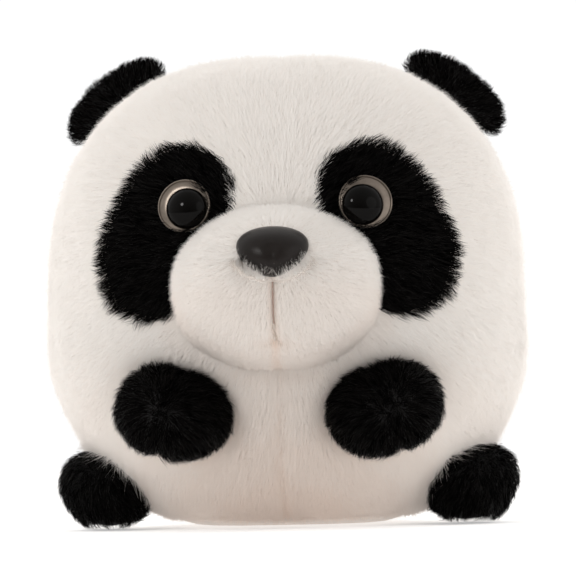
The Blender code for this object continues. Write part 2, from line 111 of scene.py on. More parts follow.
WHITE_DENSITY = 4.4e6            # fibres per square metre of skin
MUZZLE_DENSITY = 5.4e6
BLACK_DENSITY = 2.3e6
FLAT_START = -0.105              # from this y on, the white pile lies flatter
FLAT_BLEND = 0.055               # and reaches its flattest this much further back
BACK_BLEND = 0.070               # the pile turns thinner and coarser over this depth round y = 0
FLATTENING = radians(23)         # how much lower the pile lies there
BACK_THINNING = 0.55             # share of the fibres left out at the back
BACK_WIDENING = 0.5              # share by which the others are wider there
GUARD_RISE = radians(28)         # how much further guard fibres stand up than the rest

rng = np.random.default_rng(20)


# -------------------------------- small helpers
def unit(vectors):
    """Rows of vectors at length 1."""
    lengths = np.linalg.norm(vectors, axis=-1, keepdims=True)
    return vectors / np.maximum(lengths, 1e-12)


def across(vectors, normals):
    """The part of each vector that lies in its surface."""
    return vectors - normals * np.sum(vectors * normals, axis=1, keepdims=True)


def ripple(points, scale, seed):
    """Smooth noise from -1 to 1: a few crossed sine waves of about one wavelength."""
    source = np.random.default_rng(seed)
    total = np.zeros(len(points))
    waves = 5
    for _ in range(waves):
        direction = source.normal(size=3)
        direction = direction / np.linalg.norm(direction)
        wavelength = scale * source.uniform(0.7, 1.4)
        total += np.sin(points @ direction * (2 * pi / wavelength) + source.uniform(0, 2 * pi))
    return total / waves


def bell(distance, width):
    """1 where the distance is 0, falling smoothly to nearly 0 at twice the width."""
    return np.exp(-(distance / width) ** 2)


def mesh_points(mesh):
    flat = np.empty(len(mesh.vertices) * 3)
    mesh.vertices.foreach_get("co", flat)
    return flat.reshape(-1, 3)


def mesh_normals(mesh):
    flat = np.empty(len(mesh.vertices) * 3, np.float32)
    mesh.vertex_normals.foreach_get("vector", flat)
    return flat.reshape(-1, 3).astype(float)


def move_points(mesh, points):
    mesh.vertices.foreach_set("co", np.asarray(points, float).ravel())
    mesh.update()


def add_object(name, data):
    made = bpy.data.objects.new(name, data)
    bpy.context.scene.collection.objects.link(made)
    return made


def from_bmesh(name, bm):
    bmesh.ops.recalc_face_normals(bm, faces=bm.faces)
    mesh = bpy.data.meshes.new(name)
    bm.to_mesh(mesh)
    bm.free()
    mesh.shade_smooth()
    return add_object(name, mesh)


# -------------------------------- materials
def set_sockets(node, values):
    """Constants on a node's sockets, by their names with _ for a space."""
    for socket, value in values.items():
        node.inputs[socket.replace("_", " ")].default_value = value


def add_node(beside, kind, **values):
    """A new node in the same tree as another one."""
    made = beside.id_data.nodes.new(kind)
    set_sockets(made, values)
    return made


def principled(name, colour, roughness, **values):
    """A Principled material, its constants set on the shader's own sockets."""
    made = bpy.data.materials.new(name)
    made.use_nodes = True
    shader = made.node_tree.nodes["Principled BSDF"]
    set_sockets(shader, {"Base_Color": (*colour, 1.0), "Roughness": roughness, **values})
    return made, shader


def mixed_colour(shader, low, high, scale):
    """Base colour from noise between two colours. Returns the noise and the coordinates."""
    links = shader.id_data.links
    place = add_node(shader, "ShaderNodeTexCoord")
    noise = add_node(shader, "ShaderNodeTexNoise", Scale=scale, Detail=6.0)
    links.new(place.outputs["Object"], noise.inputs["Vector"])
    blend = add_node(shader, "ShaderNodeMix")
    blend.data_type = "RGBA"
    set_sockets(blend, {"A": (*low, 1.0), "B": (*high, 1.0)})
    links.new(noise.outputs["Fac"], blend.inputs["Factor"])
    links.new(blend.outputs["Result"], shader.inputs["Base Color"])
    return noise, place


def add_bump(shader, height, strength, distance):
    links = shader.id_data.links
    bump = add_node(shader, "ShaderNodeBump", Strength=strength, Distance=distance)
    links.new(height, bump.inputs["Height"])
    links.new(bump.outputs["Normal"], shader.inputs["Normal"])


def backing_cloth(name, low, high, sheen):
    """Knitted backing of plush cloth: crossed ribs about a millimetre apart over a mottled dye."""
    material, shader = principled(name, low, 0.95, Sheen_Weight=sheen)
    _, place = mixed_colour(shader, low, high, 90.0)
    links = shader.id_data.links
    weave = add_node(shader, "ShaderNodeMath")
    weave.operation = "MULTIPLY"
    for socket, direction in zip(weave.inputs, ("X", "Z")):
        ribs = add_node(shader, "ShaderNodeTexWave", Scale=320.0, Distortion=1.5)
        ribs.bands_direction = direction
        links.new(place.outputs["Object"], ribs.inputs["Vector"])
        links.new(ribs.outputs["Fac"], socket)
    add_bump(shader, weave.outputs[0], 0.6, 0.0004)
    return material


def wadding():
    """Loose polyester fibre, for the stuffing inside."""
    material, shader = principled("wadding", (0.86, 0.86, 0.84), 0.95)
    noise, _ = mixed_colour(shader, (0.80, 0.80, 0.78), (0.92, 0.92, 0.91), 60.0)
    add_bump(shader, noise.outputs["Fac"], 0.8, 0.002)
    return material


def nose_plastic():
    """Dark brown moulded plastic with a fine leather grain and a satin shine."""
    dark, light = (0.005, 0.0037, 0.0031), (0.011, 0.0080, 0.0068)
    material, shader = principled("nose_plastic", dark, 0.30, Specular_IOR_Level=0.14)
    _, place = mixed_colour(shader, dark, light, 400.0)
    grain = add_node(shader, "ShaderNodeTexVoronoi", Scale=1100.0)
    grain.feature = "DISTANCE_TO_EDGE"
    shader.id_data.links.new(place.outputs["Object"], grain.inputs["Vector"])
    add_bump(shader, grain.outputs["Distance"], 0.35, 0.0002)
    return material


def ring_pearl():
    """Beige pearl plastic with a faint swirl in it."""
    material, shader = principled("ring_pearl", (0.15, 0.124, 0.103), 0.30, Metallic=0.85)
    noise, _ = mixed_colour(shader, (0.105, 0.086, 0.071), (0.20, 0.168, 0.140), 160.0)
    noise.inputs["Distortion"].default_value = 1.2
    add_bump(shader, noise.outputs["Fac"], 0.05, 0.0002)
    return material


def dome_black():
    """Polished black plastic, with the slight unevenness of a moulding."""
    material, shader = principled("dome_black", (0.0012, 0.0010, 0.0009), 0.06, Specular_IOR_Level=0.07)
    noise, _ = mixed_colour(shader, (0.0005, 0.0004, 0.0003), (0.0018, 0.0014, 0.0011), 120.0)
    add_bump(shader, noise.outputs["Fac"], 0.02, 0.0002)
    return material


def moulded_white():
    """Plain moulded plastic, for the washers inside."""
    material, shader = principled("washer_plastic", (0.75, 0.75, 0.75), 0.5)
    noise, _ = mixed_colour(shader, (0.72, 0.72, 0.72), (0.78, 0.78, 0.78), 300.0)
    add_bump(shader, noise.outputs["Fac"], 0.1, 0.0002)
    return material


def sewing_thread():
    """Two-ply thread in a dull rose brown."""
    material, shader = principled("sewing_thread", (0.30, 0.21, 0.17), 0.8, Sheen_Weight=0.2)
    noise, _ = mixed_colour(shader, (0.24, 0.16, 0.13), (0.38, 0.28, 0.23), 900.0)
    add_bump(shader, noise.outputs["Fac"], 0.5, 0.0002)
    return material


def fibre_shades(name, shades, roughness, sheen, shine):
    """One plain material for each shade that a fibre can have."""
    made = []
    for index, colour in enumerate(shades):
        material, _ = principled(f"{name}_{index}", colour, roughness, Sheen_Weight=sheen,
                                 Specular_IOR_Level=shine * index)
        made.append(material)
    return made


def colour_ramp(first, last, steps):
    """Colours evenly between two."""
    shares = [step / (steps - 1) for step in range(steps)]
    return [tuple(a + (b - a) * share for a, b in zip(first, last)) for share in shares]


# White fibres go from light to a darker, warmer tone that serves as painted shade; black ones from dull
# to brownish and shiny.
WHITE_SHADES = colour_ramp((0.880, 0.846, 0.808), (0.830, 0.690, 0.600), 6)
BLACK_SHADES = colour_ramp((0.0005, 0.0004, 0.0004), (0.0052, 0.0043, 0.0037), 4)

finishes = {
    # The white backing is darker and warmer than its fibres: partly the cloth's own colour, partly
    # painted shade showing down between the fibres.
    "white": backing_cloth("white_backing", (0.68, 0.61, 0.56), (0.76, 0.70, 0.65), 0.2),
    "black": backing_cloth("black_backing", (0.0020, 0.0017, 0.0016), (0.0050, 0.0043, 0.0040), 0.0),
    "wadding": wadding(),
    "nose": nose_plastic(),
    "ring": ring_pearl(),
    "dome": dome_black(),
    "washer": moulded_white(),
    "thread": sewing_thread(),
}
white_fibres = fibre_shades("white_fibre", WHITE_SHADES, 0.9, 0.10, 0.02)
# Darker fibres, a painted shadow for the parting of the muzzle's seam and the mouth's tuck.
seam_shadow_fibre = fibre_shades("seam_shadow_fibre", [(0.52, 0.42, 0.35)], 0.9, 0.10, 0.0)[0]
black_fibres = fibre_shades("black_fibre", BLACK_SHADES, 0.4, 0.0, 0.035)


# -------------------------------- the ball and muzzle as formulas
def ball_level(points):
    """Below 1 inside the ball, 1 on its surface and more outside."""
    scaled = np.abs((points - BALL_MIDDLE) / BALL_SIZES)
    return np.sum(scaled ** BALL_SQUARENESS, axis=1) ** (1 / BALL_SQUARENESS)


def ball_outward(points):
    """The ball's normals at points near its surface."""
    centred = points - BALL_MIDDLE
    slope = np.sign(centred) * np.abs(centred / BALL_SIZES) ** (BALL_SQUARENESS - 1) / BALL_SIZES
    return unit(slope)


def ball_front(x, z):
    """The depth of the ball's face at x and z, as a negative y."""
    n = BALL_SQUARENESS
    level = np.abs(x / HALF_WIDTH) ** n + np.abs((z - BALL_CENTRE) / HALF_HEIGHT) ** n
    return -HALF_DEPTH * np.maximum(0.0, 1.0 - level) ** (1 / n)


def muzzle_reach(x, z):
    """0 at the muzzle's middle and 1 at its rim."""
    n = MUZZLE_SQUARENESS
    wide = np.abs(x / MUZZLE_HALF_WIDTH) ** n
    high = np.abs((z - MUZZLE_CENTRE) / MUZZLE_HALF_HEIGHT) ** n
    return (wide + high) ** (1 / n)


def muzzle_front(x, z):
    rise = MUZZLE_DEPTH * np.sqrt(np.maximum(0.0, 1.0 - muzzle_reach(x, z) ** 2))
    return ball_front(x, z) - rise


def in_patch(points, grow=0.0):
    """True inside either eye patch's outline, on the front of the ball."""
    x, y, z = points.T
    x = np.abs(x) - PATCH_CENTRE[0]
    z = z - PATCH_CENTRE[1]
    wide = x * cos(PATCH_LEAN) + z * sin(PATCH_LEAN)
    long = -x * sin(PATCH_LEAN) + z * cos(PATCH_LEAN)
    n = PATCH_SQUARENESS
    level = np.abs(wide / (PATCH_HALF_WIDTH + grow)) ** n
    level += np.abs(long / (PATCH_HALF_LENGTH + grow)) ** n
    return (level < 1.0) & (y < 0.0)


def eye_gap(points):
    """Distance from the nearer eye's middle, seen from the front."""
    x, _, z = points.T
    return np.hypot(np.abs(x) - EYE_SPACING / 2, z - EYE_HEIGHT)


def nose_gap(points):
    """0 at the nose's middle and 1 at its rim, seen from the front."""
    x, _, z = points.T
    return np.hypot(x / NOSE_HALF_WIDTH, (z - NOSE_CENTRE) / NOSE_HALF_HEIGHT)


def mouth_line(x, z, width):
    """1 on the centre seam from the nose to the mouth's lower end, fading to 0 on both sides."""
    return bell(x, width) * (z < NOSE_CENTRE) * (z > MOUTH_END)


def mouth_tuck(x, z, half_height, half_width):
    """1 in the tuck at the mouth's lower end, fading to 0 round it."""
    return bell(z - MOUTH_END, half_height) * bell(x, half_width)


# -------------------------------- limbs as the frame has them
def node_points(*names):
    return np.concatenate([mesh_points(frame["nodes"][name].data) for name in names])


def read_limb(kind, side, halves):
    """A limb's frame and half sizes, measured on its CAD pieces and its joint."""
    body = f"{kind}_{side}"
    joint = next(j for j in frame["joints"] if j["child"] == body)
    pivot = np.array(joint["pos_m"])
    line = np.array(joint["axis"]) / np.linalg.norm(joint["axis"])
    filling = node_points(f"{kind}_stuffing_{side}") - pivot
    off_line = filling - np.outer(filling @ line, line)
    tip = filling[np.argmax(np.linalg.norm(off_line, axis=1))]
    out = tip - line * (tip @ line)
    out = out / np.linalg.norm(out)
    nodes = [f"{kind}_{half}_{side}" for half in halves]
    turn = np.array([line, np.cross(out, line), out])
    half_width, half_thickness, reach = ((node_points(*nodes) - pivot) @ turn.T).max(axis=0)
    return {
        "name": body, "kind": kind, "nodes": nodes, "pivot": pivot, "turn": turn,
        "half_width": half_width, "half_thickness": half_thickness, "reach": reach,
    }


def limb_local(limb, points):
    return (points - limb["pivot"]) @ limb["turn"].T


def limb_world(limb, local):
    return local @ limb["turn"] + limb["pivot"]


def limb_sizes(limb, local):
    """A limb's half sizes along its own axes: its tip reaches further than its root."""
    depth = np.where(local[:, 2] > 0, limb["reach"], limb["half_thickness"])
    wide = np.full(len(local), limb["half_width"])
    thick = np.full(len(local), limb["half_thickness"])
    return np.column_stack([wide, thick, depth])


def limb_level(limb, points, grow=0.0):
    """Below 1 inside a limb, 1 on its surface and more outside."""
    local = limb_local(limb, points)
    return np.linalg.norm(local / (limb_sizes(limb, local) + grow), axis=1)


def limb_outward(limb, points):
    """A limb's normals at points near its surface."""
    local = limb_local(limb, points)
    return unit(local / limb_sizes(limb, local) ** 2) @ limb["turn"]


HALVES = {"ear": ("back", "front"), "arm": ("inner", "outer"), "foot": ("sole", "upper")}
limbs = [read_limb(kind, side, HALVES[kind]) for kind in HALVES for side in SIDES]


def round_limbs(points, kind, width):
    """1 on the surface of the limbs of one kind, fading to 0 away from them."""
    near = np.zeros(len(points))
    for limb in limbs:
        if limb["kind"] == kind:
            near += bell(limb_level(limb, points) - 1.0, width)
    return near


# -------------------------------- skins
def round_block(name, cuts, shape):
    """A closed skin of even faces: a cube's faces bent round, then each direction placed by shape."""
    bm = bmesh.new()
    bmesh.ops.create_cube(bm, size=2.0)
    bmesh.ops.subdivide_edges(bm, edges=bm.edges[:], cuts=cuts, use_grid_fill=True)
    flat = np.array([vert.co[:] for vert in bm.verts])
    directions = unit(np.tan(flat * pi / 4))
    for vert, place in zip(bm.verts, shape(directions)):
        vert.co = place
    return from_bmesh(name, bm)


def inflate(piece, pinned, cap):
    """Blow the skin up against its pinned seams, and keep each point's move up to a cap."""
    before = mesh_points(piece.data)
    group = piece.vertex_groups.new(name="seam")
    group.add([int(i) for i in np.flatnonzero(pinned)], 1.0, "REPLACE")
    cloth = piece.modifiers.new("Cloth", "CLOTH")
    settings = cloth.settings
    settings.quality = 5
    settings.mass = 0.3
    settings.tension_stiffness = 12.0
    settings.compression_stiffness = 12.0
    settings.bending_stiffness = 0.4
    settings.use_pressure = True
    settings.uniform_pressure_force = 4.0
    settings.vertex_group_mass = "seam"
    settings.effector_weights.gravity = 0.0
    scene = bpy.context.scene
    for step in range(1, 21):
        scene.frame_set(step)
    shaped = piece.evaluated_get(bpy.context.evaluated_depsgraph_get())
    move = mesh_points(shaped.data) - before
    piece.modifiers.remove(cloth)
    piece.vertex_groups.remove(group)
    scene.frame_set(1)
    far = np.linalg.norm(move, axis=1, keepdims=True)
    move *= np.minimum(1.0, cap / np.maximum(far, 1e-9))
    move_points(piece.data, before + np.nan_to_num(move))


def refine(piece):
    """Split every edge in two and round the result."""
    bm = bmesh.new()
    bm.from_mesh(piece.data)
    bmesh.ops.subdivide_edges(bm, edges=bm.edges[:], cuts=1, use_grid_fill=True)
    all_axes = {"use_axis_x": True, "use_axis_y": True, "use_axis_z": True}
    bmesh.ops.smooth_vert(bm, verts=bm.verts[:], factor=0.5, **all_axes)
    bm.to_mesh(piece.data)
    bm.free()
    piece.data.shade_smooth()


def emboss(skin, relief):
    """Push a finished skin along its normals by its relief, and keep it off the floor."""
    points = mesh_points(skin.data)
    points = points + mesh_normals(skin.data) * relief(points)[:, None]
    points[:, 2] = np.maximum(points[:, 2], FLOOR_CLEARANCE)
    move_points(skin.data, points)


def ball_shape(directions):
    """The CAD's ball, a little under its cloth's outer face, flat where it rests."""
    sizes = BALL_SIZES - SKIN_INSET
    level = np.sum(np.abs(directions / sizes) ** BALL_SQUARENESS, axis=1) ** (1 / BALL_SQUARENESS)
    points = directions / level[:, None]
    lowest = -BALL_CENTRE + SKIN_INSET
    below = points[:, 2] < lowest
    points[below] *= (lowest / points[below, 2])[:, None]
    return points + BALL_MIDDLE


def ball_relief(points):
    """How far the finished ball's skin is pushed in or out along its normal."""
    x, y, z = points.T
    front = y < 0
    belly = front & (z < MUZZLE_CENTRE)
    seam = bell(x, 0.0040)
    push = -0.0018 * seam * belly - 0.0007 * seam * ~belly
    push += 0.0012 * ripple(points, 0.060, 3) + 0.0004 * ripple(points, 0.024, 4)
    shoulder = bell(z - SHOULDER_HEIGHT, 0.026)
    push += 0.0030 * shoulder * (np.abs(x) / HALF_WIDTH) ** 4 * front
    push -= 0.0030 * round_limbs(points, "arm", 0.30)
    for sign in SIDES.values():
        socket = np.hypot(x - sign * EYE_SPACING / 2, z - EYE_HEIGHT)
        push -= 0.0010 * bell(socket, 0.012) * front
    return push * (z > 0.004)


def make_ball():
    skin = round_block("ball_cloth", 23, ball_shape)
    points = mesh_points(skin.data)
    seam_reach = 0.0045
    seams = (np.abs(points[:, :2]) < seam_reach).any(axis=1) | (points[:, 2] < 0.010)
    inflate(skin, seams, 0.0018)
    refine(skin)
    refine(skin)
    emboss(skin, ball_relief)
    skin.data.materials.append(finishes["white"])
    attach(skin, "root")
    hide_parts("front_panel_left", "front_panel_right", "back_panel_left", "back_panel_right",
                "base_panel")
    return skin


def muzzle_shape(directions):
    """A dome on the ball's face, closed behind by a shallow back inside the ball."""
    squeeze = np.hypot(directions[:, 0], directions[:, 2])
    rise = np.maximum(0.0, -directions[:, 1])
    angle = np.arctan2(directions[:, 2], directions[:, 0])
    n = MUZZLE_SQUARENESS
    stretch = (np.abs(np.cos(angle)) ** n + np.abs(np.sin(angle)) ** n) ** (-1 / n)
    x = squeeze * stretch * np.cos(angle) * (MUZZLE_HALF_WIDTH - SKIN_INSET)
    z = MUZZLE_CENTRE + squeeze * stretch * np.sin(angle) * (MUZZLE_HALF_HEIGHT - SKIN_INSET)
    back = np.maximum(0.0, directions[:, 1]) * 0.006 + 0.0015
    y = ball_front(x, z) - rise * (MUZZLE_DEPTH - SKIN_INSET) + np.where(rise > 0, 0.0, back)
    return np.column_stack([x, y, z])


def muzzle_relief(points):
    """The centre seam under the nose, and the tuck where the mouth's thread ends."""
    x, _, z = points.T
    push = -0.0010 * mouth_line(x, z, 0.0020)
    push -= 0.0006 * bell(x, 0.0050) * (z <= MOUTH_END)
    push -= 0.0009 * mouth_tuck(x, z, 0.0022, 0.0055)
    return push + 0.0006 * ripple(points, 0.035, 5)


def make_muzzle():
    skin = round_block("muzzle_cloth", 15, muzzle_shape)
    points = mesh_points(skin.data)
    rim = muzzle_reach(points[:, 0], points[:, 2]) > 0.93
    inflate(skin, rim | (np.abs(points[:, 0]) < 0.001), 0.0016)
    refine(skin)
    refine(skin)
    emboss(skin, muzzle_relief)
    skin.data.materials.append(finishes["white"])
    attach(skin, "root")
    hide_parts("muzzle_cover_left", "muzzle_cover_right")
    return skin


def make_limb_skin(limb):
    """The limb's cloth: pinned along its seam and at its root, blown up between them."""
    fullness = {"ear": 2.2, "arm": 2.25, "foot": 2.3}[limb["kind"]]
    seam_axis, groove = (0, 0.0022) if limb["kind"] == "arm" else (1, 0.0008)

    def shape(directions):
        level = np.sum(np.abs(directions) ** fullness, axis=1) ** (-1 / fullness)
        sizes = limb_sizes(limb, directions) - SKIN_INSET
        return limb_world(limb, directions * level[:, None] * sizes)

    def relief(points):
        """The seam's groove, and a slight unevenness."""
        seam_gap = limb_local(limb, points)[:, seam_axis]
        return -groove * bell(seam_gap, 0.0028) + 0.0007 * ripple(points, 0.022, 11)

    skin = round_block(f"{limb['name']}_cloth", 13, shape)
    local = limb_local(limb, mesh_points(skin.data))
    pinned = (np.abs(local[:, seam_axis]) < 0.0012) | (local[:, 2] < -0.3 * limb["half_thickness"])
    inflate(skin, pinned, 0.0018)
    refine(skin)
    emboss(skin, relief)
    skin.data.materials.append(finishes["black"])
    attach(skin, limb["name"])
    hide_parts(*limb["nodes"])
    return skin


def on_ball(tree, x, z):
    """The point of the ball's skin behind x and z, lifted just off it."""
    hit, normal, _, _ = tree.ray_cast(Vector((x, -1.0, z)), Vector((0.0, 1.0, 0.0)))
    return hit + normal * 0.0005


def make_patch_cloth(side, ball_tree):
    """The black cloth of an eye patch: a thin closed pad, laid on the ball just clear of the white."""
    sign = SIDES[side]
    rings, steps = 14, 56
    bm = bmesh.new()
    rows = []
    n = PATCH_SQUARENESS
    for ring in range(1, rings + 1):
        row = []
        for step in range(steps):
            angle = 2 * pi * step / steps
            stretch = (abs(cos(angle)) ** n + abs(sin(angle)) ** n) ** (-1 / n) * ring / rings
            wide = PATCH_HALF_WIDTH * stretch * cos(angle)
            long = PATCH_HALF_LENGTH * stretch * sin(angle)
            x = sign * (PATCH_CENTRE[0] + wide * cos(PATCH_LEAN) - long * sin(PATCH_LEAN))
            z = PATCH_CENTRE[1] + wide * sin(PATCH_LEAN) + long * cos(PATCH_LEAN)
            row.append(bm.verts.new(on_ball(ball_tree, x, z)))
        rows.append(row)
    middle = bm.verts.new(on_ball(ball_tree, sign * PATCH_CENTRE[0], PATCH_CENTRE[1]))
    for step in range(steps):
        after = (step + 1) % steps
        bm.faces.new((middle, rows[0][step], rows[0][after]))
        for low, high in zip(rows, rows[1:]):
            bm.faces.new((low[step], high[step], high[after], low[after]))
    thickness = 0.0012
    bmesh.ops.recalc_face_normals(bm, faces=bm.faces)
    bottom = bmesh.ops.extrude_face_region(bm, geom=bm.faces[:])
    for item in bottom["geom"]:
        if isinstance(item, bmesh.types.BMVert):
            item.co.y += thickness
    cloth = from_bmesh(f"eye_patch_cloth_{side}", bm)
    cloth.data.materials.append(finishes["black"])
    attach(cloth, "root")
    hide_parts(f"eye_patch_{side}")
    return cloth


# -------------------------------- pile
def root_fibres(skin, density):
    """Points spread evenly at random over a skin, with its smooth normals there."""
    mesh = skin.data
    count = int(sum(face.area for face in mesh.polygons) * density)
    mesh.calc_loop_triangles()
    triangles = np.empty(len(mesh.loop_triangles) * 3, np.int32)
    mesh.loop_triangles.foreach_get("vertices", triangles)
    triangles = triangles.reshape(-1, 3)
    points, normals = mesh_points(mesh), mesh_normals(mesh)
    a, b, c = points[triangles[:, 0]], points[triangles[:, 1]], points[triangles[:, 2]]
    area = np.linalg.norm(np.cross(b - a, c - a), axis=1)
    chosen = rng.choice(len(triangles), count, p=area / area.sum())
    u, v = rng.random(count), rng.random(count)
    over = u + v > 1
    u[over], v[over] = 1 - u[over], 1 - v[over]
    weights = np.column_stack([1 - u - v, u, v])
    corners = triangles[chosen]
    at = np.einsum("ij,ijk->ik", weights, points[corners])
    outward = unit(np.einsum("ij,ijk->ik", weights, normals[corners]))
    return at, outward


def gather_clumps(roots, tips, share, strength):
    """Draw each fibre's tip towards that of the nearest of the fibres that lead a clump."""
    count = max(1, int(len(roots) * share))
    seeds = rng.choice(len(roots), count, replace=False)
    tree = KDTree(count)
    for index, seed in enumerate(seeds):
        tree.insert(roots[seed], index)
    tree.balance()
    nearest = np.array([tree.find(root)[1] for root in roots])
    apart = tips[seeds[nearest]] - tips
    return tips + apart * strength * rng.uniform(0.5, 1.0, (len(roots), 1))


def build_pile(name, at, outward, comb, look):
    """A mesh of tapered fibres: straight ones of one triangle, or bent ones of a quad and a triangle.

    Each fibre leaves its skin at look["rise"] and its tip lies lower, the way it is combed. Its
    shading follows the skin under it, so that the pile reads as one soft surface.
    """
    count = len(at)
    length = look["length"] * rng.uniform(0.75, 1.15, count)[:, None]
    if "shorten" in look:
        length = length * look["shorten"](at)[:, None]
    lay = unit(across(comb + rng.normal(0, look["stray"], (count, 3)), outward))
    guard = rng.random((count, 1)) < look["guard"]
    rise = look["rise"] + rng.normal(0, 0.10, (count, 1)) + GUARD_RISE * guard
    lift = look["lift"](at)[:, None] if "lift" in look else 0.0
    steep = np.minimum(rise + lift, radians(85))
    shallow = rise * 0.35 + lift
    first = unit(lay * np.cos(steep) + outward * np.sin(steep))
    second = unit(lay * np.cos(shallow) + outward * np.sin(shallow))
    middle = at + first * length * 0.5
    tip = middle + second * length * 0.55
    tip = gather_clumps(at, tip, look["clump_share"], look["clump"])
    tip = tip + lay * rng.normal(0, 0.0003, (count, 1))
    if "settle" in look:
        middle, tip = look["settle"](middle, tip)
    for points in (middle, tip):
        points[:, 2] = np.maximum(points[:, 2], FLOOR_CLEARANCE)
    level = unit(np.cross(outward, lay))
    roll = rng.normal(0, look["roll"], count)[:, None]
    edge = unit(level * np.cos(roll) + outward * np.sin(roll))
    half = look["width"] / 2 * rng.uniform(0.7, 1.2, (count, 1))
    foot = at - outward * ROOT_DEPTH
    if look["bent"]:
        knee = half * 0.85
        points = [foot - edge * half, foot + edge * half, middle + edge * knee, middle - edge * knee, tip]
        faces = ([1, 0, 3, 2], [2, 3, 4])
    else:
        points = [foot - edge * half, foot + edge * half, tip]
        faces = ([1, 0, 2],)
    mesh = blade_mesh(name, np.stack(points, axis=1), faces)
    for material in look["fibres"]:
        mesh.materials.append(material)
    shade = look["shade"](at, count)
    mesh.polygons.foreach_set("material_index", np.repeat(shade, len(faces)).astype(np.int32))
    mesh.shade_smooth()
    soft = unit(outward + rng.normal(0, look["glint"], (count, 3)))
    facing = np.repeat(soft[:, None, :], len(points), axis=1)
    facing[:, -1] = unit(facing[:, -1] + lay * 0.25)
    mesh.normals_split_custom_set_from_vertices(facing.reshape(-1, 3))
    return add_object(name, mesh)


def blade_mesh(name, points, faces):
    """One mesh of many blades: points are (blade, corner, axis), faces are the corners of each."""
    count, corners = points.shape[:2]
    order = [corner for face in faces for corner in face]
    sizes = [len(face) for face in faces]
    starts = np.cumsum([0] + sizes[:-1])
    base = np.arange(count)[:, None]
    mesh = bpy.data.meshes.new(name)
    mesh.vertices.add(count * corners)
    mesh.vertices.foreach_set("co", points.astype(np.float32).ravel())
    mesh.loops.add(count * len(order))
    mesh.loops.foreach_set("vertex_index", (base * corners + np.array(order)).astype(np.int32).ravel())
    mesh.polygons.add(count * len(faces))
    mesh.polygons.foreach_set("loop_start", (base * len(order) + starts).astype(np.int32).ravel())
    mesh.update(calc_edges=True)
    return mesh


def grade(painted_shade, steps, spread):
    """A function that gives each fibre a shade by how much painted shade its place gets, and a little at
    random.
    """
    def choose(at, count):
        level = painted_shade(at) * (steps - 1) + np.abs(rng.normal(0, spread, count))
        return np.clip(np.round(level), 0, steps - 1).astype(int)
    return choose


def ball_painted_shade(at):
    """Painted shade: white fibres are darker and warmer low on the belly, in the crease under the muzzle,
    round the arms and along the belly's seam.
    """
    x, y, z = at.T
    below = z < MUZZLE_CENTRE
    low = np.clip((0.100 - z) / 0.085, 0.0, 1.0) * bell(x, 0.085)
    crease = bell(muzzle_reach(x, z) - 1.0, 0.16) * below
    arm_shade = round_limbs(at, "arm", 0.30)
    seam = bell(x, 0.0025) * below
    return np.clip(0.76 * low + 0.12 * crease + 0.25 * arm_shade + 0.15 * seam, 0.0, 1.0) * (y < 0)


def muzzle_painted_shade(at):
    """Painted shade: the muzzle is darker and warmer towards its lower rim, below the nose, along its
    seam and in the mouth's tuck.
    """
    x, _, z = at.T
    seam = bell(x, 0.0018) * (z < NOSE_CENTRE)
    tuck = mouth_tuck(x, z, 0.0022, 0.0060)
    rim = np.clip((muzzle_reach(x, z) - 0.75) / 0.25, 0.0, 1.0) * (z < MUZZLE_CENTRE)
    low = np.clip((NOSE_CENTRE - z) / 0.050, 0.0, 1.0)
    return np.clip(0.45 * seam + 0.35 * tuck + 0.20 * rim + 0.28 * low, 0.0, 1.0)


def muzzle_shade(at, count):
    """The muzzle's shades, with darker fibres as painted shadow in the seam below the thread and in its
    tuck.
    """
    x, _, z = at.T
    shade = grade(muzzle_painted_shade, len(WHITE_SHADES), 0.35)(at, count)
    seam = 0.8 * bell(x, 0.0006) * (z < STITCH_END + 0.002) * (z > MOUTH_END)
    tuck = 0.2 * mouth_tuck(x, z, 0.0009, 0.0040)
    shade[rng.random(count) < np.maximum(seam, tuck)] = len(WHITE_SHADES)
    return shade


# Black fibres get no painted shade.
def no_painted_shade(at):
    return np.zeros(len(at))


# A look says how one kind of pile grows: sizes in metres, angles in radians, shares from 0 to 1.
WHITE_LOOK = {
    "length": WHITE_LENGTH, "width": 0.00034, "rise": radians(40), "stray": 0.22, "roll": 0.18,
    "guard": 0.07, "clump_share": 0.020, "clump": 0.12, "glint": 0.07, "bent": False,
    "fibres": white_fibres, "shade": grade(ball_painted_shade, len(WHITE_SHADES), 0.35),
}
MUZZLE_LOOK = dict(
    WHITE_LOOK, length=MUZZLE_LENGTH, width=0.00030, rise=radians(42), guard=0.06,
    fibres=white_fibres + [seam_shadow_fibre], shade=muzzle_shade,
)
BLACK_LOOK = {
    "length": BLACK_LENGTH, "width": 0.00036, "rise": radians(38), "stray": 0.30, "roll": 0.55,
    "guard": 0.18, "clump_share": 0.028, "clump": 0.50, "glint": 0.30, "bent": True,
    "fibres": black_fibres, "shade": grade(no_painted_shade, len(BLACK_SHADES), 0.9),
}


def radiating(at, source, droop):
    """Combed away from a point, and down."""
    return unit(unit(at - source) - np.array([0.0, 0.0, droop]))


def swirl(at, outward, comb, amount, scale, seed):
    """Turn the combing a little this way and that across the surface."""
    turn = (amount * ripple(at, scale, seed))[:, None]
    side = np.cross(outward, comb)
    return comb * np.cos(turn) + side * np.sin(turn)


def settle_round_limbs(middle, tip):
    """Fibres of the ball stay short of the muzzle, eyes and arms, and lie over the ears and feet."""
    inside = blocked_level(tip) < 1.0
    tip[inside] = middle[inside] + (tip[inside] - middle[inside]) * 0.4
    for limb in limbs:
        if limb["kind"] != "arm":
            for points, lift in ((middle, 0.0022), (tip, 0.0050)):
                level = limb_level(limb, points)
                sunk = level < 1.08
                depth = (1.0 - level[sunk]) * limb["half_thickness"] + lift
                points[sunk] += limb_outward(limb, points[sunk]) * depth[:, None]
    return middle, tip


def over_feet(at):
    """The ball's fibres are longer where they hang over a foot."""
    return 1.0 + 0.55 * round_limbs(at, "foot", 0.35)


def on_floor_side(at, outward):
    """True on the face that the toy rests on, which has no pile."""
    return (at[:, 2] < 0.006) & (outward[:, 2] < -0.5)


def near_eyes(at, radius):
    return (eye_gap(at) < radius) & (at[:, 1] < 0)


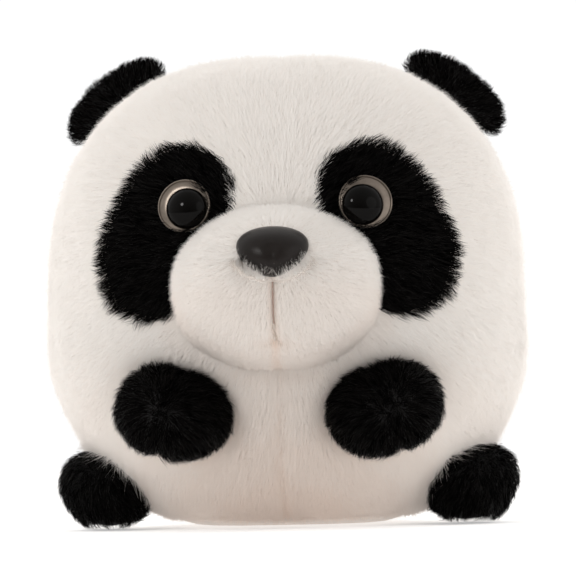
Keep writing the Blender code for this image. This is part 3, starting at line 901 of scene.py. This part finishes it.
def ball_covered(at):
    """True where the ball's skin is under the muzzle or inside a limb's root."""
    hidden = (muzzle_reach(at[:, 0], at[:, 2]) < 0.90) & (at[:, 1] < -HALF_DEPTH / 2)
    for limb in limbs:
        hidden |= limb_level(limb, at) < 0.93
    return hidden


def blocked_level(points):
    """Below 1 inside the muzzle, an arm or an eye."""
    x, y, z = points.T
    inside_muzzle = (muzzle_reach(x, z) < 1.0) & (y > muzzle_front(x, z) - 0.001) & (y < 0)
    level = np.where(inside_muzzle, 0.5, 2.0)
    for limb in limbs:
        if limb["kind"] == "arm":
            level = np.minimum(level, limb_level(limb, points, 0.001))
    return np.where(near_eyes(points, EYE_DOME_RADIUS + 0.0012), 0.5, level)


def finish_pile(pile, body):
    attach(pile, body)


def grow_both_sides(name, at, outward, comb, look):
    """One pile for each side of the toy."""
    for side, sign in SIDES.items():
        mine = at[:, 0] * sign > 0
        pile = build_pile(f"{name}_{side}", at[mine], outward[mine], comb[mine], look)
        finish_pile(pile, "root")


def cover_ball(skin):
    """White pile on the four panels, flatter, thinner and coarser towards the back."""
    at, outward = root_fibres(skin, WHITE_DENSITY)
    keep = ~ball_covered(at) & ~on_floor_side(at, outward)
    keep &= ~near_eyes(at, EYE_RING_RADIUS - 0.0015)
    at, outward = at[keep], outward[keep]
    comb = radiating(at, NOSE_ROOT, 0.35)
    comb = swirl(at, outward, comb, 0.35, 0.07, 7)
    patch = in_patch(at)
    flat = np.clip((at[:, 1] - FLAT_START) / FLAT_BLEND, 0.0, 1.0)
    behind = np.clip((at[:, 1] + BACK_BLEND / 2) / BACK_BLEND, 0.0, 1.0)
    kept = rng.random(len(at)) > BACK_THINNING * behind
    for end, front in (("front", True), ("back", False)):
        for side, sign in SIDES.items():
            mine = kept & ~patch & ((at[:, 1] < 0) == front) & (at[:, 0] * sign > 0)
            look = dict(WHITE_LOOK, settle=settle_round_limbs, shorten=over_feet,
                        width=WHITE_LOOK["width"] * (1.0 + BACK_WIDENING * behind[mine][:, None]),
                        rise=WHITE_LOOK["rise"] - FLATTENING * flat[mine][:, None])
            pile = build_pile(f"pile_{end}_{side}", at[mine], outward[mine], comb[mine], look)
            finish_pile(pile, "root")


def cover_patches(skin):
    """Black pile on the two eye patches, standing up round the eyes' rings."""
    at, outward = root_fibres(skin, BLACK_DENSITY)
    keep = in_patch(at, 0.0008) & ~ball_covered(at) & ~near_eyes(at, EYE_RING_RADIUS - 0.0015)
    at, outward = at[keep], outward[keep]
    comb = radiating(at, NOSE_ROOT, 0.30)
    comb = swirl(at, outward, comb, 0.45, 0.03, 9)

    def by_ring(points):
        return bell(eye_gap(points) - EYE_RING_RADIUS, 0.003)

    def lift(points):
        """Fibres stand up round the eyes' rings."""
        return radians(22) * by_ring(points)

    def shorten(points):
        """Longer just outside the rings, so that some fibres hang over them."""
        return 1.0 + 0.35 * by_ring(points)

    look = dict(BLACK_LOOK, settle=settle_round_limbs, lift=lift, shorten=shorten)
    grow_both_sides("eye_patch_pile", at, outward, comb, look)


def nose_edge(points):
    """1 along the nose's lower edge, where the muzzle's fibres lap over it, fading to 0."""
    lower_half = np.clip((NOSE_CENTRE - points[:, 2]) / 0.005, 0.0, 1.0)
    return bell(nose_gap(points) - 1.0, 0.20) * lower_half


def cover_muzzle(skin):
    """Shorter white pile, combed away from the nose and parted along the centre seam."""
    at, outward = root_fibres(skin, MUZZLE_DENSITY)
    front = at[:, 1] < ball_front(at[:, 0], at[:, 2]) + 0.001
    keep = front & (nose_gap(at) > 0.90)
    at, outward = at[keep], outward[keep]
    source = np.array([0.0, -HALF_DEPTH - MUZZLE_DEPTH * 0.6, NOSE_CENTRE])
    comb = radiating(at, source, 0.10)
    seam = mouth_line(at[:, 0], at[:, 2], 0.0035)
    comb = unit(comb + np.column_stack([np.sign(at[:, 0]) * seam * 0.18, 0 * seam, 0 * seam]))
    comb = swirl(at, outward, comb, 0.25, 0.03, 13)

    lap = nose_edge(at)
    toward = unit(np.array([0.0, 0.0, NOSE_CENTRE]) - at * [1.0, 0.0, 1.0])
    comb = unit(comb * (1.0 - lap[:, None]) + toward * lap[:, None])

    def shorten(points):
        x, _, z = points.T
        parted = np.maximum(mouth_line(x, z, 0.0018), mouth_tuck(x, z, 0.0020, 0.0055))
        return 1.0 - 0.30 * parted + 0.80 * nose_edge(points)

    def lift(points):
        return radians(47) * nose_edge(points)

    look = dict(MUZZLE_LOOK, shorten=shorten, lift=lift)
    grow_both_sides("muzzle_pile", at, outward, comb, look)


def cover_limb(limb, skin):
    """Black pile. On an arm it fans out and down from the tip; on an ear or foot it follows the limb."""
    at, outward = root_fibres(skin, BLACK_DENSITY)
    buried = 0.97 if limb["kind"] == "arm" else 0.99
    keep = (ball_level(at) > buried) & ~on_floor_side(at, outward)
    at, outward = at[keep], outward[keep]
    local = limb_local(limb, at)
    out = limb["turn"][2]
    if limb["kind"] == "arm":
        comb = unit(at - limb_world(limb, np.array([[0.0, 0.0, limb["reach"] * 0.9]])) - out * 0.01)
        parting = bell(local[:, :1], 0.005) * np.sign(local[:, :1])
        comb = unit(comb + parting * limb["turn"][0] * 0.5 + np.array([0.0, 0.0, -1.1]))
    else:
        away = unit(at - limb["pivot"])
        comb = unit(away * 0.6 + out * 0.6 + np.array([0.0, 0.0, -0.35]) * (limb["kind"] == "foot"))
    comb = swirl(at, outward, comb, 0.35, 0.02, 17)

    def settle(middle, tip):
        for points in (middle, tip):
            level = ball_level(points)
            sunk = level < 1.015
            points[sunk] += ball_outward(points[sunk]) * ((1.015 - level[sunk]) * HALF_DEPTH)[:, None]
        return middle, tip

    def shorten(points):
        """Short against the ball, full a little way off it."""
        return np.clip(0.45 + (ball_level(points) - 1.0) * HALF_DEPTH / 0.012, 0.45, 1.0)

    look = dict(BLACK_LOOK, settle=settle, shorten=shorten, length=LIMB_LENGTHS[limb["kind"]])
    pile = build_pile(f"{limb['name']}_pile", at, outward, comb, look)
    finish_pile(pile, limb["name"])


# -------------------------------- eyes, nose and stitch
def face_frame(front, x, z):
    """A frame on y = front(x, z): Z out of the toy, X level, Y up."""
    step = 0.001
    slope_x = float(front(x + step, z) - front(x - step, z)) / (2 * step)
    slope_z = float(front(x, z + step) - front(x, z - step)) / (2 * step)
    outward = Vector((slope_x, -1.0, slope_z)).normalized()
    level = outward.cross(Vector((0.0, 0.0, -1.0))).normalized()
    turn = Matrix((level, outward.cross(level), outward)).transposed().to_4x4()
    return Matrix.Translation((x, float(front(x, z)), z)) @ turn


def close_rows(bm, rows):
    """Join rings of corners one to the next, and close the first and last."""
    steps = len(rows[0])
    for low, high in zip(rows, rows[1:]):
        for i in range(steps):
            j = (i + 1) % steps
            bm.faces.new((low[i], low[j], high[j], high[i]))
    bm.faces.new(rows[0])
    bm.faces.new(rows[-1])


def turned(name, profile, at, centre):
    """A closed solid turned about the frame's Z axis from (radius, height) points."""
    steps = 72
    bm = bmesh.new()
    rows = []
    angles = [2 * pi * i / steps for i in range(steps)]
    for radius, height in profile:
        places = [(centre[0] + radius * cos(a), centre[1] + radius * sin(a), height) for a in angles]
        rows.append([bm.verts.new(at @ Vector(place)) for place in places])
    close_rows(bm, rows)
    made = from_bmesh(name, bm)
    made.data.set_sharp_from_angle(angle=radians(50))
    return made


def arc(radius, rise, start_height, steps):
    """Profile points of an elliptical cap, from its edge up to just short of its tip."""
    angles = [pi / 2 * i / steps for i in range(steps)]
    return [(radius * cos(a), start_height + rise * sin(a)) for a in angles]


def make_eye(side):
    """A slightly domed pearl ring with a rolled lip, and a polished dome set inward and down in it."""
    sign = SIDES[side]
    at = face_frame(ball_front, sign * EYE_SPACING / 2, EYE_HEIGHT)
    radius = EYE_RING_RADIUS
    shank = 0.0026
    back = [(shank, -0.0100), (shank, -0.0002), (0.88 * radius, -0.0002), (0.985 * radius, 0.0006)]
    turns = np.linspace(-0.6, 2.2, 8)
    lip = [(0.96 * radius + 0.0005 * cos(a), 0.0030 + 0.0009 * sin(a)) for a in turns]
    crown = [(0.92 * radius, 0.0033), (0.84 * radius, 0.0038), (0.72 * radius, 0.0042)]
    crown += [(0.60 * radius, 0.0043), (0.05 * radius, 0.0028)]
    ring = turned(f"eye_ring_body_{side}", back + lip + crown, at, (0.0, 0.0))
    ring.data.materials.append(finishes["ring"])
    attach(ring, "root")
    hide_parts(f"eye_ring_{side}")
    offset = EYE_DOME_OFFSET / 2 ** 0.5
    shoulder = 0.0038
    outline = [(EYE_DOME_RADIUS * 0.98, 0.0022), (EYE_DOME_RADIUS, 0.0026)]
    outline += arc(EYE_DOME_RADIUS, EYE_DOME_RISE, shoulder, 16)
    outline.append((0.0002, shoulder + EYE_DOME_RISE))
    dome = turned(f"eye_dome_body_{side}", outline, at, (-sign * offset, -offset))
    dome.data.materials.append(finishes["dome"])
    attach(dome, "root")
    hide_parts(f"eye_dome_{side}")


def nose_surface(reach, angle, rise):
    """A point of the nose: a triangle with round corners, laid over the muzzle."""
    x = reach * NOSE_HALF_WIDTH * 0.965 * np.cos(angle) * (1 + 0.25 * np.sin(angle))
    z = NOSE_CENTRE + reach * NOSE_HALF_HEIGHT * np.sin(angle)
    return Vector((x, float(muzzle_front(x, z)) - 0.0006 - rise, z))


def make_nose():
    """A moulded nose: a full brow, a shallow hollow down the front, and a rolled edge."""
    steps, rings = 64, 18
    bm = bmesh.new()
    rows = []
    angles = [2 * pi * i / steps for i in range(steps)]
    for reach in (0.35, 0.70, 0.92):
        rows.append([bm.verts.new(nose_surface(reach, a, 0.0)) for a in angles])
    for ring in range(rings):
        slope = pi / 2 * (1 - ring / rings)
        row = []
        for a in angles:
            reach = sin(slope)
            brow = 1.0 + 0.10 * reach * sin(a)
            hollow = 0.0006 * bell(reach * cos(a), 0.16) * (reach * sin(a) < 0.2)
            rise = NOSE_DEPTH * cos(slope) ** 0.85 * brow - hollow
            row.append(bm.verts.new(nose_surface(reach, a, rise)))
        rows.append(row)
    close_rows(bm, rows)
    nose = from_bmesh("nose_cap", bm)
    nose.data.materials.append(finishes["nose"])
    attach(nose, "root")
    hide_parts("nose")


def make_stitch():
    """The mouth's thread: two plies twisted round each other down the centre seam."""
    low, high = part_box("mouth_stitch")
    radius = 0.00030
    turns = 11
    for index in range(2):
        curve = bpy.data.curves.new(f"mouth_thread_{index}", "CURVE")
        curve.dimensions = "3D"
        curve.bevel_depth = radius
        curve.bevel_resolution = 3
        curve.use_fill_caps = True
        steps = turns * 10
        spline = curve.splines.new("POLY")
        spline.points.add(steps)
        for i, point in enumerate(spline.points):
            share = i / steps
            z = high.z + (low.z - high.z) * share
            turn = 2 * pi * turns * share + pi * index
            y = float(muzzle_front(0.0, z)) + 0.0004 + radius * sin(turn)
            point.co = (radius * cos(turn), y, z, 1.0)
        thread = add_object(f"mouth_thread_{index}", curve)
        curve.materials.append(finishes["thread"])
        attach(thread, "root")
        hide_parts("mouth_stitch")


def finish_inner_nodes():
    """The pieces inside keep their CAD shape and get their own materials."""
    for name, node in frame["nodes"].items():
        finish = "wadding" if "stuffing" in name else "washer" if "washer" in name else None
        if finish:
            node.data.materials.clear()
            node.data.materials.append(finishes[finish])


# -------------------------------- studio
def area_light(name, place, aim, size, power, colour):
    light = bpy.data.lights.new(name, "AREA")
    light.shape = "DISK"
    light.size = size
    light.energy = power
    light.color = colour
    made = add_object(name, light)
    made.location = place
    made.rotation_euler = (Vector(aim) - Vector(place)).to_track_quat("-Z", "Y").to_euler()


def make_world():
    """Soft light from all round: bright above, behind and at the sides, dim in front and below.

    The camera itself sees plain white behind the toy.
    """
    world = bpy.data.worlds.new("studio")
    bpy.context.scene.world = world
    world.use_nodes = True
    nodes, links = world.node_tree.nodes, world.node_tree.links

    def compute(operation, first, second):
        made = nodes.new("ShaderNodeMath")
        made.operation = operation
        for socket, value in zip(made.inputs, (first, second)):
            if isinstance(value, float):
                socket.default_value = value
            else:
                links.new(value, socket)
        return made.outputs[0]

    place = nodes.new("ShaderNodeTexCoord")
    split = nodes.new("ShaderNodeSeparateXYZ")
    links.new(place.outputs["Generated"], split.inputs["Vector"])
    sideways = compute("POWER", compute("ABSOLUTE", split.outputs["X"], 0.0), 2.0)
    behind = compute("MAXIMUM", split.outputs["Y"], 0.0)
    above = compute("MAXIMUM", split.outputs["Z"], 0.0)
    strength = 0.27
    for part, share in ((sideways, 0.76), (behind, 0.70), (above, 0.70)):
        strength = compute("ADD", compute("MULTIPLY", part, share), strength)
    background = nodes["Background"]
    set_sockets(background, {"Color": (1.0, 0.985, 0.97, 1.0)})
    links.new(strength, background.inputs["Strength"])
    plain = add_node(background, "ShaderNodeBackground", Color=(1.0, 1.0, 1.0, 1.0), Strength=1.05)
    seen = nodes.new("ShaderNodeLightPath")
    choose = nodes.new("ShaderNodeMixShader")
    links.new(seen.outputs["Is Camera Ray"], choose.inputs["Fac"])
    links.new(background.outputs["Background"], choose.inputs[1])
    links.new(plain.outputs["Background"], choose.inputs[2])
    links.new(choose.outputs["Shader"], nodes["World Output"].inputs["Surface"])


def make_floor():
    """White paper that glows slightly, so that it stays as white as what is behind it."""
    bm = bmesh.new()
    half = 3.0
    corners = [(-half, -half), (half, -half), (half, half), (-half, half)]
    bm.faces.new([bm.verts.new((x, y, 0.0)) for x, y in corners])
    floor = from_bmesh("floor", bm)
    material, shader = principled("floor_paper", (0.88, 0.87, 0.86), 0.9)
    mixed_colour(shader, (0.87, 0.86, 0.85), (0.89, 0.88, 0.87), 6.0)
    set_sockets(shader, {"Emission_Color": (1.0, 1.0, 1.0, 1.0), "Emission_Strength": 0.42})
    floor.data.materials.append(material)


def make_camera():
    """Straight ahead, a little below level and to the toy's left, and slightly rolled."""
    camera = add_object("camera", bpy.data.cameras.new("camera"))
    camera.data.sensor_width = 36.0
    camera.data.lens = 241.0
    distance = 2.0
    turn = radians(3.0)
    lift = radians(-2.0)
    roll = radians(1.2)
    aim = Vector((0.0, 0.0, BALL_CENTRE + 0.0045))
    away = Vector((sin(turn) * cos(lift), -cos(turn) * cos(lift), sin(lift)))
    camera.location = aim + away * distance
    look = (-away).to_track_quat("-Z", "Y").to_matrix().to_4x4()
    camera.matrix_world = Matrix.Translation(camera.location) @ look @ Matrix.Rotation(-roll, 4, "Z")
    bpy.context.scene.camera = camera


def make_lights():
    middle = (0.0, 0.0, 0.12)
    area_light("key", (-1.0, -1.5, 1.05), middle, 0.35, 7.9, (1.0, 0.99, 0.975))
    area_light("fill", (1.5, -1.3, 0.7), middle, 1.6, 5.0, (1.0, 0.985, 0.97))


def main():
    make_camera()
    make_world()
    make_floor()
    make_lights()
    ball = make_ball()
    muzzle = make_muzzle()
    tree = BVHTree.FromObject(ball, bpy.context.evaluated_depsgraph_get())
    for side in SIDES:
        make_patch_cloth(side, tree)
        make_eye(side)
    cover_ball(ball)
    cover_patches(ball)
    cover_muzzle(muzzle)
    for limb in limbs:
        cover_limb(limb, make_limb_skin(limb))
    make_nose()
    make_stitch()
    finish_inner_nodes()
    bpy.context.scene.view_settings.view_transform = "Standard"


main()
